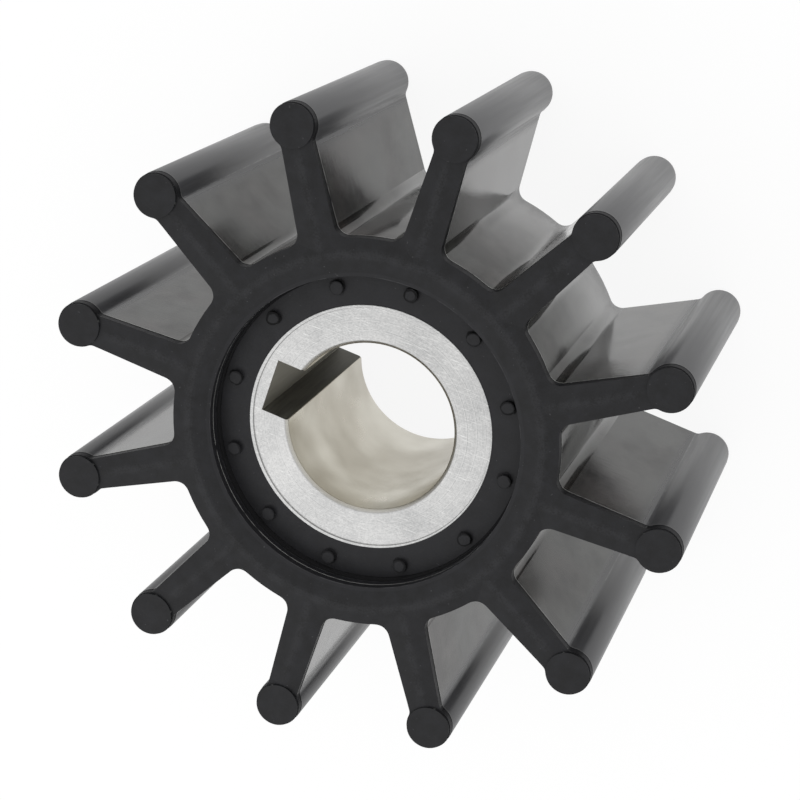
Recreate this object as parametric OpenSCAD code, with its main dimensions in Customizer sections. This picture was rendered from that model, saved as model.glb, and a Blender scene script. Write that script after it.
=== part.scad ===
// Flexible rubber impeller for a liquid pump: a one-piece rubber moulding with straight
// bulb-tipped vanes, bonded on a machined metal insert with a keyed bore.
// The bore axis is +Z. The impeller stands on its back end at z = 0, with vane 0 along +X.

/* [Vanes] */
// Number of vanes round the hub
vane_count = 12; // [8:1:14]
// Diameter over the vane tips
tip_d = 97; // [94:0.5:104]
// Width of the vanes along the axis, between the two rims of a bulb
vane_w = 48.8; // [47:0.1:60]
// Diameter of the bulb that runs along each vane tip
bulb_d = 6.8; // [6:0.1:8.4]
// Thickness of a vane where it leaves the hub
vane_root_t = 5.8; // [5:0.1:7]
// Thickness of a vane at the centre of its bulb
vane_tip_t = 4.6; // [3:0.1:5]
// Radius of the fillet between a vane and the hub
root_fillet = 2; // [1:0.1:2.6]
// Radius of the hollow blend between a vane and its bulb
tip_fillet = 1.2; // [0.5:0.1:6]

/* [Vane ends] */
// Slope of a vane's end face, down from its centre ridge to each flank, in degrees
vane_bevel = 6; // [3:0.5:12]
// Width of the flat land along the ridges of the vanes and the hub
ridge_w = 0.7; // [0.3:0.1:1.2]
// Fall of a vane's ridge from the hub to the centre of the bulb
ridge_fall = 0.45; // [0.2:0.05:0.6]
// Height of the raised disc above the rim of the bulb
disc_h = 0.45; // [0.3:0.05:0.6]
// Width of the rim round that disc
rim_w = 0.14; // [0.08:0.02:0.5]
// Depth of the set-back band along each end edge, which the end plates of the mould form
band_h = 1.25; // [0.8:0.05:2]
// How far that band lies back from the flanks
band_inset = 0.06; // [0.04:0.01:0.15]

/* [Hub] */
// Diameter of the hub between the vanes
hub_d = 57.6; // [56:0.2:62]
// Diameter of the ridge round each end of the hub
crown_d = 52.7; // [51:0.1:54.4]
// Height of that ridge above the rims of the bulbs
crown_h = 0.6; // [0.6:0.05:1]
// Slope of the hub's end face outside its ridge, in degrees
outer_bevel = 10; // [4:0.5:20]
// Slope of the hub's end face inside its ridge, in degrees
inner_bevel = 13; // [4:0.5:24]
// Diameter of the recess in each end of the hub
recess_d = 46.3; // [45.2:0.1:48]
// Depth of the front recess below the rims of the bulbs
recess_depth = 3.65; // [3:0.05:5]
// Width of the ledge at the foot of the recess wall
ledge_w = 0.3; // [0.1:0.05:0.5]
// Height of that ledge above the recess floor
ledge_h = 1.1; // [0.4:0.1:1.4]

/* [Gate pips] */
// Diameter of the round pips in the front recess
pip_d = 2; // [1.2:0.1:2.4]
// Height of the pips above the recess floor
pip_h = 0.75; // [0.3:0.05:1.2]
// Diameter of the circle that the pips stand on
pip_circle_d = 42.2; // [40:0.1:42.6]

/* [Insert] */
// Outside diameter of the insert, and of its seat in the rubber
insert_d = 36.5; // [34:0.1:38]
// Length of the insert over its end lips
insert_l = 39; // [34:0.5:41]
// How far the insert stands out of the recess floor at each end
insert_proud = 0.1; // [0:0.05:0.3]
// Mean width of the lip left round each machined end face
lip_w = 0.4; // [0.3:0.05:0.8]
// Height of that lip above the machined face
lip_h = 0.25; // [0.1:0.05:0.5]
// How far the round machined faces lie off the bore's axis
face_shift = 0.12; // [0:0.02:0.2]
// Direction of that shift from vane 0, in degrees
face_turn = 196; // [0:4:356]
// Diameter of the shaft bore
bore_d = 25; // [22:0.1:26]
// Chamfer at each mouth of the bore
bore_chamfer = 0.5; // [0.2:0.1:1]
// Width of the keyway
keyway_w = 8; // [6:0.1:9]
// Depth of the keyway beyond the bore wall, measured at its centre
keyway_d = 3.5; // [2.6:0.1:3.6]
// Turn of the keyway from the nearest vane, in degrees
keyway_turn = -2; // [-15:0.5:15]

/* [Hidden] */
$fn = 96;
// Extra length of a cut or a blank past the faces that it meets
over = 1;
// Drop of a vane's ridge below the hub's ridge, so that the two run into each other
ridge_dip = 0.05;
// How far a vane and the filling of its root fillets reach into the hub
root_overlap = 4;
fillet_overlap = 2;

hub_r = hub_d / 2;
bulb_r = bulb_d / 2;
crown_r = crown_d / 2;
recess_r = recess_d / 2;
insert_r = insert_d / 2;
bore_r = bore_d / 2;
// Radius of the circle through the bulb centres
bulb_at = tip_d / 2 - bulb_r;
disc_r = bulb_r - band_inset - rim_w;
// Heights of the two planes in which the bulbs' rims lie, and of the middle between them
back_z = crown_h;
front_z = back_z + vane_w;
middle_z = back_z + vane_w / 2;
// Heights of the two recess floors and of the insert's ends
front_floor = front_z - recess_depth;
insert_top = front_floor + insert_proud;
insert_bottom = insert_top - insert_l;
back_floor = insert_bottom + insert_proud;

// Half thickness of a vane at distance x from the axis, and its change with x
taper = (vane_tip_t - vane_root_t) / 2 / (bulb_at - hub_r);
function half_t(x) = vane_root_t / 2 + (x - hub_r) * taper;
// Length of the flank's normal (-taper, 1)
flank_n = sqrt(1 + taper * taper);

// Centre of a circle of radius r that touches the flank from outside, at distance d from a
// point c on the vane's centre line; side is 1 for the centre further out and -1 for nearer in
function touch(r, c, d, side) =
    let (k = half_t(0) + r * flank_n)
    let (a = 1 + taper * taper, b = 2 * (taper * k - c), e = c * c + k * k - d * d)
    let (x = (-b + side * sqrt(b * b - 4 * a * e)) / (2 * a))
    [x, k + taper * x];

root_c = touch(root_fillet, 0, hub_r + root_fillet, 1);
tip_c = touch(tip_fillet, bulb_at, bulb_r + tip_fillet, -1);

// Points where a fillet circle at c with radius r touches the flank and a circle at [x, 0]
function on_flank(c, r) = c + r * [taper, -1] / flank_n;
function on_circle(c, r, x) = c + r * ([x, 0] - c) / norm([x, 0] - c);

// The corner that a fillet fills: a kite from the fillet's centre, less the fillet's circle
module corner(c, r, x, inside) {
    difference() {
        polygon([c, on_flank(c, r), inside, on_circle(c, r, x)]);
        translate(c) circle(r = r);
    }
}

// One vane with its bulb and fillets, seen along the axis, pointing along +X and set back by inset
module vane_outline(inset) {
    start = hub_r - root_overlap;
    set_back = inset * flank_n;
    root_y = half_t(start) - set_back;
    tip_y = half_t(bulb_at) - set_back;
    polygon([[start, -root_y], [bulb_at, -tip_y], [bulb_at, tip_y], [start, root_y]]);
    translate([bulb_at, 0]) circle(r = bulb_r - inset);
    for (side = [0, 1]) mirror([0, side]) {
        corner(root_c, root_fillet + inset, 0, [hub_r - fillet_overlap, root_y / 2]);
        corner(tip_c, tip_fillet + inset, bulb_at, [bulb_at - bulb_r / 2, tip_y / 2]);
    }
}

module outline(inset = 0) {
    circle(r = hub_r - inset);
    for (i = [0 : vane_count - 1]) rotate(i * 360 / vane_count) vane_outline(inset);
}

// The turned form of the hub: both ridged end faces, the stepped recesses and the insert's seat
module hub_blank() {
    blank_r = hub_r + root_fillet + over;
    land_in = crown_r - ridge_w / 2;
    land_out = crown_r + ridge_w / 2;
    mouth = crown_h - (land_in - recess_r) * tan(inner_bevel);
    rim = crown_h - (blank_r - land_out) * tan(outer_bevel);
    step_r = recess_r - ledge_w;
    rotate_extrude() polygon([
        [insert_r, back_floor], [step_r, back_floor],
        [step_r, back_floor - ledge_h], [recess_r, back_floor - ledge_h],
        [recess_r, back_z - mouth], [land_in, back_z - crown_h],
        [land_out, back_z - crown_h], [blank_r, back_z - rim],
        [blank_r, front_z + rim], [land_out, front_z + crown_h],
        [land_in, front_z + crown_h], [recess_r, front_z + mouth],
        [recess_r, front_floor + ledge_h], [step_r, front_floor + ledge_h],
        [step_r, front_floor], [insert_r, front_floor]
    ]);
}

// One end half of a vane's blank: a roof with a flat-topped ridge that falls towards the bulb
module vane_roof() {
    start = crown_r;
    depth = vane_w / 2 + crown_h + over;
    half_w = vane_root_t / 2 + root_fillet + over;
    eave = (half_w - ridge_w / 2) * tan(vane_bevel);
    fall = atan(ridge_fall / (bulb_at - start));
    translate([start, 0, vane_w / 2 + crown_h - ridge_dip]) rotate([0, fall, 0])
        rotate([90, 0, 90]) linear_extrude(height = bulb_at - start) polygon([
            [-half_w, -eave], [-ridge_w / 2, 0], [ridge_w / 2, 0],
            [half_w, -eave], [half_w, -depth], [-half_w, -depth]
        ]);
}

module vane_blank() {
    translate([0, 0, middle_z]) {
        vane_roof();
        mirror([0, 0, 1]) vane_roof();
    }
    translate([bulb_at, 0, back_z]) cylinder(r = bulb_r + over, h = vane_w);
}

module rubber_body() {
    color([0.17, 0.17, 0.18]) {
        intersection() {
            union() {
                translate([0, 0, -over])
                    linear_extrude(height = front_z + crown_h + 2 * over) outline(band_inset);
                translate([0, 0, back_z + band_h]) linear_extrude(height = vane_w - 2 * band_h) outline();
            }
            union() {
                hub_blank();
                for (i = [0 : vane_count - 1]) rotate(i * 360 / vane_count) vane_blank();
            }
        }
        for (i = [0 : vane_count - 1]) rotate(i * 360 / vane_count) {
            translate([bulb_at, 0, back_z - disc_h]) cylinder(r = disc_r, h = vane_w + 2 * disc_h);
            translate([pip_circle_d / 2, 0, front_floor - over]) cylinder(d = pip_d, h = pip_h + over);
        }
    }
}

// A turned sleeve with a chamfered bore, its two round end faces sunk by lip_h, and the keyway
module hub_insert() {
    face_r = insert_r - lip_w;
    bottom_face = insert_bottom + lip_h;
    top_face = insert_top - lip_h;
    mouth_r = bore_r + bore_chamfer + lip_h;
    color([0.8, 0.8, 0.79]) difference() {
        rotate_extrude() polygon([
            [bore_r, bottom_face + bore_chamfer], [mouth_r, insert_bottom],
            [insert_r, insert_bottom], [insert_r, insert_top],
            [mouth_r, insert_top], [bore_r, top_face - bore_chamfer]
        ]);
        rotate(face_turn) translate([face_shift, 0, 0]) {
            translate([0, 0, top_face]) cylinder(r = face_r, h = lip_h + over);
            translate([0, 0, insert_bottom - over]) cylinder(r = face_r, h = lip_h + over);
        }
        rotate(keyway_turn) translate([0, -keyway_w / 2, insert_bottom - over])
            cube([bore_r + keyway_d, keyway_w, insert_l + 2 * over]);
    }
}

rubber_body();
hub_insert();
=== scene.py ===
import math

import bpy
from mathutils import Matrix, Vector

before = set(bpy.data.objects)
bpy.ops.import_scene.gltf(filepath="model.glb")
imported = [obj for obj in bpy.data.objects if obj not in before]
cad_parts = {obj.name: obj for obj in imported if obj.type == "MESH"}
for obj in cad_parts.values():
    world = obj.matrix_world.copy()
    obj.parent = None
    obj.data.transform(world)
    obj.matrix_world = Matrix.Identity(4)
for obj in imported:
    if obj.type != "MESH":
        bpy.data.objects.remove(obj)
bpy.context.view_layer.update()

MM = 0.001
WHITE = (1.0, 1.0, 1.0)

# Where the surfaces of the part change, in millimetres. A pair is a soft step from one to the other,
# except for the lines, rings and bands given to Graph.band.

VANES = 12
FRONT_BAND_Z = (48.12, 48.18)
EDGE_LINE_Z = (47.98, 48.10)
PIPS_ABOVE_Z = (44.5, 45.0)
INSIDE_HUB_R = (23.6, 23.8)
RECESS_LINE_R = (23.10, 23.21)
LEDGE_R = (22.75, 23.10)
HUB_RIDGE_R = (26.0, 26.7)
VANE_RIDGE_HALF = (0.3, 0.9)
VANE_RIDGE_START = (26.5, 28.0)
VANE_RIDGE_END = (40.0, 41.5)
BULB_R = (40.0, 42.6)
BULB_CREASE = (42.30, 42.42)
PIP_CIRCLE_R = 21.1
PIP_RING = (0.86, 1.08)
PIP_TEAR = 1.3

BORE_R = (12.9, 13.1)
KEYWAY_X = (11.98, 12.08)
KEYWAY_HALF = (4.06, 4.12)
KEYWAY_FLOOR_X = (15.90, 15.97)
KEYWAY_OUTER_R = (17.2, 17.4)
KEYWAY_TURN = math.radians(-2)


class Graph:
    """A node tree with short ways to add nodes. An input's value is a socket or a constant."""

    def __init__(self, owner):
        owner.use_nodes = True
        self.tree = owner.node_tree
        self.tree.nodes.clear()

    def put(self, socket, value):
        if isinstance(value, bpy.types.NodeSocket):
            self.tree.links.new(value, socket)
        else:
            socket.default_value = value

    def node(self, kind, inputs=None, **attrs):
        new = self.tree.nodes.new("ShaderNode" + kind)
        for key, value in attrs.items():
            setattr(new, key, value)
        for key, value in (inputs or {}).items():
            self.put(new.inputs[key], value)
        return new

    def math(self, operation, *values):
        return self.node("Math", dict(enumerate(values)), operation=operation).outputs[0]

    def vector(self, operation, *values):
        return self.node("VectorMath", dict(enumerate(values)), operation=operation).outputs

    def product(self, first, *others):
        for value in others:
            first = self.math("MULTIPLY", first, value)
        return first

    def largest(self, first, *others):
        for value in others:
            first = self.math("MAXIMUM", first, value)
        return first

    def weighted(self, *pairs):
        """The sum of each value times its weight."""
        total = None
        for value, weight in pairs:
            part = self.product(value, weight)
            total = part if total is None else self.math("ADD", total, part)
        return total

    def span(self, value, low, high, to_low=0.0, to_high=1.0, smooth=False):
        limits = {"Value": value, "From Min": low, "From Max": high, "To Min": to_low, "To Max": to_high}
        kind = "SMOOTHSTEP" if smooth else "LINEAR"
        return self.node("MapRange", limits, interpolation_type=kind, clamp=True).outputs[0]

    def rise(self, value, step, smooth=False):
        """0 below a step given in millimetres, 1 above it."""
        return self.span(value, step[0] * MM, step[1] * MM, smooth=smooth)

    def fall(self, value, step):
        """1 below a step given in millimetres, 0 above it."""
        return self.span(value, step[0] * MM, step[1] * MM, 1.0, 0.0)

    def band(self, value, limits, soft):
        """1 between the limits, falling to 0 over soft on either side, all in millimetres."""
        low, high = limits
        return self.product(self.rise(value, (low - soft, low)), self.fall(value, (high, high + soft)))

    def mix(self, factor, a, b):
        new = self.node("Mix", {"Factor": factor}, data_type="RGBA")
        for socket, value in ((new.inputs[6], a), (new.inputs[7], b)):
            self.put(socket, (*value, 1.0) if isinstance(value, tuple) else value)
        return new.outputs[2]

    def blend(self, factor, a, b):
        return self.node("Mix", {"Factor": factor, "A": a, "B": b}, data_type="FLOAT").outputs[0]

    def noise(self, vector, scale, detail=2.0, roughness=0.5):
        inputs = {"Vector": vector, "Scale": scale, "Detail": detail, "Roughness": roughness}
        return self.node("TexNoise", inputs).outputs["Fac"]

    def along_z(self, vector, factor):
        return self.node("Mapping", {"Vector": vector, "Scale": (1.0, 1.0, factor)}).outputs[0]

    def parts(self, vector):
        return self.node("SeparateXYZ", {0: vector}).outputs

    def join(self, x=0.0, y=0.0, z=0.0):
        return self.node("CombineXYZ", {0: x, 1: y, 2: z}).outputs[0]

    def upright(self):
        """1 where the surface faces straight up or down, 0 on upright walls."""
        return self.math("ABSOLUTE", self.parts(self.node("NewGeometry").outputs["Normal"])[2])

    def seen_directly(self):
        """1 for what the camera sees, in reflections and through glass too, 0 for light on surfaces."""
        path = self.node("LightPath").outputs
        return self.largest(path["Is Camera Ray"], path["Is Glossy Ray"], path["Is Transmission Ray"])

    def bump(self, height, strength, distance):
        return self.node("Bump", {"Strength": strength, "Distance": distance, "Height": height}).outputs[0]


def surface(name):
    material = bpy.data.materials.new(name)
    return material, Graph(material)


def rubber_material():
    """Matt ends and front band, glossy flanks with a grain that runs out from the hub, satin bulbs."""
    material, g = surface("moulded_rubber")
    coords = g.node("TexCoord").outputs["Object"]
    x, y, z = g.parts(coords)
    flat = g.join(x, y)
    radius = g.vector("LENGTH", flat)["Value"]

    end_face = g.span(g.upright(), 0.55, 0.85, smooth=True)
    side = g.math("SUBTRACT", 1.0, end_face)
    in_hub = g.fall(radius, INSIDE_HUB_R)
    matt = g.largest(end_face, g.rise(z, FRONT_BAND_Z), in_hub)
    bulb = g.rise(radius, BULB_R, smooth=True)
    # Painted shade: a dark line at the foot of the recess wall, also made rough.
    shaded_ledge = g.band(radius, LEDGE_R, 0.04)

    fine = g.noise(coords, 3600.0, 3.0, 0.65)
    blotches = g.noise(coords, 420.0, 3.0, 0.6)
    cloudy = g.noise(g.along_z(coords, 0.6), 190.0, 3.0, 0.6)
    axial = g.noise(g.along_z(coords, 0.02), 1500.0, 2.0, 0.6)
    tint = g.noise(coords, 75.0, 2.0, 0.5)
    waves = g.noise(g.along_z(coords, 0.5), 170.0, 1.0, 0.4)
    around = g.vector("MULTIPLY", g.vector("NORMALIZE", flat)["Vector"], (9.0, 9.0, 0.0))["Vector"]
    place = g.vector("ADD", around, g.join(z=g.product(z, 3600.0)))["Vector"]
    grain = g.node("TexNoise", {"Vector": place, "W": g.product(radius, 330.0), "Scale": 1.0, "Detail": 2.0,
                                "Roughness": 0.6}, noise_dimensions="4D").outputs["Fac"]

    # All the vanes folded onto one: out along the vane, across it, and the distance from its pip
    half_pitch = math.radians(180 / VANES)
    folded = g.math("WRAP", g.math("ARCTAN2", y, x), half_pitch, -half_pitch)
    out_along = g.product(radius, g.math("COSINE", folded))
    across = g.product(radius, g.math("SINE", folded))
    from_pip = g.vector("LENGTH", g.join(g.math("SUBTRACT", out_along, PIP_CIRCLE_R * MM), across))["Value"]
    # Painted shade: a ragged ring round each pip, coloured dark for the shade at its foot and also sunk a little
    # in the bump.
    torn = g.product(g.math("SUBTRACT", blotches, 0.5), PIP_TEAR * MM)
    shaded_pip_ring = g.product(g.band(g.math("ADD", from_pip, torn), PIP_RING, 0.14), g.rise(z, PIPS_ABOVE_Z),
                         g.span(cloudy, 0.36, 0.58, 0.25, 0.8))

    # Painted highlights: thin light lines on the front edges of the flanks, on the edge of the recess and along
    # each bulb
    edge_highlight = g.product(g.band(z, EDGE_LINE_Z, 0.04), side, g.span(g.noise(coords, 700.0), 0.32, 0.46),
                          g.span(bulb, 0.0, 1.0, 1.0, 0.3))
    recess_edge_highlight = g.product(g.band(radius, RECESS_LINE_R, 0.04), end_face,
                            g.span(g.noise(coords, 330.0, 3.0, 0.7), 0.46, 0.62))
    crease_highlight = g.product(g.band(out_along, BULB_CREASE, 0.05), side,
                       g.span(g.noise(coords, 500.0, 3.0, 0.7), 0.44, 0.58))

    # Dust, and a faint streaky painted highlight along the ridges of the vanes and of the hub
    specks = g.product(end_face, g.span(g.noise(coords, 2300.0, 1.0, 0.5), 0.75, 0.81))
    vane_ridge = g.product(g.fall(g.math("ABSOLUTE", across), VANE_RIDGE_HALF),
                           g.rise(out_along, VANE_RIDGE_START), g.fall(out_along, VANE_RIDGE_END))
    streaks = g.weighted((blotches, 0.4), (fine, 0.6))
    ridge_highlight = g.product(end_face, g.largest(vane_ridge, g.band(radius, HUB_RIDGE_R, 0.6)),
                     g.span(streaks, 0.42, 0.58))

    flank_light = g.mix(g.span(tint, 0.40, 0.60), (0.037, 0.0300, 0.0275), (0.0270, 0.0285, 0.0235))
    patches = g.weighted((cloudy, 0.5), (grain, 0.5))
    colour = g.mix(g.span(patches, 0.38, 0.62), (0.004, 0.004, 0.0040), flank_light)
    bulb_colour = g.mix(axial, (0.048, 0.0485, 0.0515), (0.084, 0.0845, 0.089))
    mottle = g.weighted((blotches, 0.5), (fine, 0.5))
    end_colour = g.mix(g.span(mottle, 0.38, 0.62), (0.0004, 0.0004, 0.0010), (0.0080, 0.0082, 0.0104))
    for mask, layer in (
        (bulb, bulb_colour),
        (matt, end_colour),
        # Painted light: the inside of the hub, with its recess, is coloured lighter against its shade.
        (g.product(in_hub, 0.35), (0.018, 0.018, 0.021)),
        # Painted shade: dark rings round the pips and a dark line at the foot of the recess wall.
        (g.largest(shaded_pip_ring, g.product(shaded_ledge, 0.6)), (0.0005, 0.0005, 0.0005)),
        # Painted highlights: the light lines on the front edges and on the edge of the recess.
        (g.product(edge_highlight, 0.8), (0.36, 0.36, 0.35)),
        (g.product(recess_edge_highlight, 0.6), (0.060, 0.060, 0.064)),
        (g.product(specks, 0.5), (0.075, 0.075, 0.080)),
        # Painted highlight: a lighter streaky line along the ridges of the vanes and of the hub.
        (g.product(ridge_highlight, 0.55), (0.0205, 0.0208, 0.0235)),
        # Painted highlight: the light line along each bulb's crease.
        (g.product(crease_highlight, 0.4), (0.20, 0.20, 0.195)),
    ):
        colour = g.mix(mask, colour, layer)

    rough = g.span(cloudy, 0.3, 0.7, 0.10, 0.19)
    for mask, layer in (
        (bulb, g.span(axial, 0.3, 0.7, 0.28, 0.36)),
        (matt, g.span(fine, 0.3, 0.7, 0.50, 0.64)),
        (shaded_pip_ring, 0.95),
        (shaded_ledge, 0.95),
    ):
        rough = g.blend(mask, rough, layer)

    height = g.blend(bulb, g.product(grain, 0.8), g.product(axial, 0.15))
    height = g.math("ADD", height, g.product(waves, 2.5))
    height = g.blend(matt, height, g.product(fine, 1.4))
    height = g.math("SUBTRACT", height, shaded_pip_ring)

    # A cloudy, slightly warm bloom in the reflections of the flanks
    plain = g.largest(matt, bulb)
    bloom = g.weighted((cloudy, 0.6), (tint, 0.4))
    shine = g.blend(plain, g.span(bloom, 0.40, 0.60, 0.38, 0.62), 0.5)
    shine_tint = g.mix(g.span(tint, 0.42, 0.58), (1.0, 0.965, 0.92), (0.98, 0.99, 0.94))
    shine_tint = g.mix(plain, shine_tint, WHITE)

    shader = g.node("BsdfPrincipled", {
        "Base Color": colour, "Roughness": rough, "Normal": g.bump(height, 0.3, 0.00004), "IOR": 1.39,
        "Specular IOR Level": shine, "Specular Tint": shine_tint})
    g.node("OutputMaterial", {"Surface": shader.outputs[0]})
    return material


def metal_material():
    """Faced ends with fine turning marks and scratches, a warmer reamed bore, a dull keyway with painted shade.
    """
    material, g = surface("turned_metal")
    coords = g.node("TexCoord").outputs["Object"]
    x, y, _ = g.parts(coords)
    radius = g.vector("LENGTH", g.join(x, y))["Value"]
    face = g.span(g.upright(), 0.6, 0.8)
    wall = g.math("SUBTRACT", 1.0, face)
    bore = g.product(g.fall(radius, BORE_R), wall)
    turned = g.node("VectorRotate", {"Vector": coords, "Angle": -KEYWAY_TURN}, rotation_type="Z_AXIS").outputs[0]
    key_x, key_y, _ = g.parts(turned)
    keyway = g.product(g.rise(key_x, KEYWAY_X), g.fall(g.math("ABSOLUTE", key_y), KEYWAY_HALF),
                       g.fall(radius, KEYWAY_OUTER_R), wall)

    rings = g.node("TexNoise", {"W": g.product(radius, 6200.0), "Scale": 1.0, "Detail": 3.0},
                   noise_dimensions="1D").outputs["Fac"]
    scratches = []
    for degrees, stretch in ((35.0, 260.0), (-48.0, 330.0), (80.0, 300.0)):
        laid = g.node("Mapping", {"Vector": coords, "Rotation": (0.0, 0.0, math.radians(degrees)),
                                  "Scale": (stretch, 5200.0, 1.0)}).outputs[0]
        scratches.append(g.span(g.noise(laid, 1.0, 2.0, 0.6), 0.60, 0.72))
    scratches = g.largest(*scratches)
    grit = g.noise(coords, 4200.0, 2.0, 0.6)
    cloudy = g.noise(coords, 150.0, 3.0, 0.6)
    stains = g.noise(g.along_z(coords, 0.7), 75.0, 2.0, 0.5)
    ripples = g.noise(coords, 130.0, 1.0, 0.4)
    drawn = g.noise(g.along_z(turned, 0.05), 1500.0, 3.0, 0.6)

    turning = g.weighted((grit, 0.35), (rings, 0.4), (cloudy, 0.25))
    colour = g.mix(g.span(turning, 0.38, 0.62), (0.315, 0.317, 0.317), (0.52, 0.518, 0.512))
    bore_colour = g.mix(g.span(stains, 0.36, 0.64, smooth=True), (0.49, 0.458, 0.383), (0.68, 0.653, 0.572))
    # Painted shade: the keyway's walls are coloured dark for the shade inside it, and its floor is kept lighter.
    keyway_shade_colour = g.mix(g.span(drawn, 0.32, 0.68), (0.10, 0.097, 0.082), (0.20, 0.195, 0.170))
    keyway_shade_colour = g.mix(g.product(g.rise(key_x, KEYWAY_FLOOR_X), 0.7), keyway_shade_colour, (0.40, 0.39, 0.345))
    for mask, layer in (
        (g.product(scratches, 0.7), (0.62, 0.62, 0.61)),
        (bore, bore_colour),
        (keyway, keyway_shade_colour),
    ):
        colour = g.mix(mask, colour, layer)

    rough = g.span(rings, 0.3, 0.7, 0.30, 0.44)
    rough = g.blend(bore, rough, g.span(cloudy, 0.3, 0.7, 0.26, 0.40))
    rough = g.blend(keyway, rough, g.span(drawn, 0.3, 0.7, 0.55, 0.75))
    height = g.weighted((rings, 0.7), (scratches, 0.8))
    height = g.blend(bore, height, g.product(ripples, 9.0))
    height = g.blend(keyway, height, drawn)

    shader = g.node("BsdfPrincipled", {
        "Base Color": colour, "Metallic": 1.0, "Roughness": rough, "Normal": g.bump(height, 0.35, 0.00003)})
    g.node("OutputMaterial", {"Surface": shader.outputs[0]})
    return material


# Both pieces keep their CAD meshes, with very narrow bevels. Only the insert's is clamped: a clamped bevel
# leaves empty slivers on the rubber.

WELD_DISTANCE = 0.000002
BEVEL_ANGLE = math.radians(28)

for name, material, bevel_width in (("rubber_body", rubber_material(), 0.01),
                                    ("hub_insert", metal_material(), 0.06)):
    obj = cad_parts[name]
    for slot in obj.material_slots:
        slot.material = material
    weld = obj.modifiers.new("weld", "WELD")
    weld.merge_threshold = WELD_DISTANCE
    bevel = obj.modifiers.new("soft_edges", "BEVEL")
    bevel.width = bevel_width * MM
    bevel.segments = 3
    bevel.limit_method = "ANGLE"
    bevel.angle_limit = BEVEL_ANGLE
    bevel.use_clamp_overlap = name == "hub_insert"


# Floor, a little below the part so that their faces don't lie in one plane

FLOOR_HALF = 2.0
FLOOR_DROP = 0.02 * MM
FLOOR_WHITE = 0.86

floor_mesh = bpy.data.meshes.new("floor")
corners = [(-FLOOR_HALF, -FLOOR_HALF, 0), (FLOOR_HALF, -FLOOR_HALF, 0), (FLOOR_HALF, FLOOR_HALF, 0),
           (-FLOOR_HALF, FLOOR_HALF, 0)]
floor_mesh.from_pydata(corners, [], [(0, 1, 2, 3)])
floor = bpy.data.objects.new("floor", floor_mesh)
floor.location.z = -FLOOR_DROP
bpy.context.scene.collection.objects.link(floor)

material, g = surface("pale_floor")
diffuse = g.node("BsdfDiffuse", {"Color": (0.82, 0.82, 0.82, 1)})
white = g.node("Emission", {"Color": (*WHITE, 1), "Strength": 1.05})
both = g.node("MixShader", {0: g.product(g.seen_directly(), FLOOR_WHITE), 1: diffuse.outputs[0],
                            2: white.outputs[0]})
g.node("OutputMaterial", {"Surface": both.outputs[0]})
floor_mesh.materials.append(material)


# Studio: an even white surround, and one soft box

world = bpy.data.worlds.new("studio")
bpy.context.scene.world = world
g = Graph(world)
strength = g.span(g.seen_directly(), 0.0, 1.0, 0.85, 1.0)
background = g.node("Background", {"Color": (*WHITE, 1), "Strength": strength})
g.node("OutputWorld", {"Surface": background.outputs[0]})

KEY_PLACE = Vector((0.3, 0.5, 0.9))
KEY_AIM = Vector((0, 0, 0.03))

light = bpy.data.lights.new("key", "AREA")
light.shape = "SQUARE"
light.size = 0.5
light.energy = 1.1
lamp = bpy.data.objects.new("key", light)
bpy.context.scene.collection.objects.link(lamp)
lamp.location = KEY_PLACE
lamp.rotation_mode = "QUATERNION"
lamp.rotation_quaternion = (KEY_AIM - KEY_PLACE).to_track_quat("-Z", "Y")


# Camera, placed by a fit of the vane tips, the hub and the bore to the photograph

CAMERA_PLACE = Vector((-56.8132, -113.1568, 345.1381)) * MM
CAMERA_RIGHT = Vector((-0.9198049, -0.2865023, -0.268096))
CAMERA_UP = Vector((0.3551855, -0.8983109, -0.2586133))
CAMERA_BACK = Vector((-0.1667402, -0.3330976, 0.9280322))

camera_data = bpy.data.cameras.new("camera")
camera_data.sensor_width = 36.0
camera_data.lens = 101.2
camera_data.clip_start = 0.01
camera_data.clip_end = 20.0
camera = bpy.data.objects.new("camera", camera_data)
bpy.context.scene.collection.objects.link(camera)
turn = Matrix((CAMERA_RIGHT, CAMERA_UP, CAMERA_BACK)).transposed().to_4x4()
camera.matrix_world = Matrix.Translation(CAMERA_PLACE) @ turn
bpy.context.scene.camera = camera

bpy.context.scene.view_settings.view_transform = "Standard"
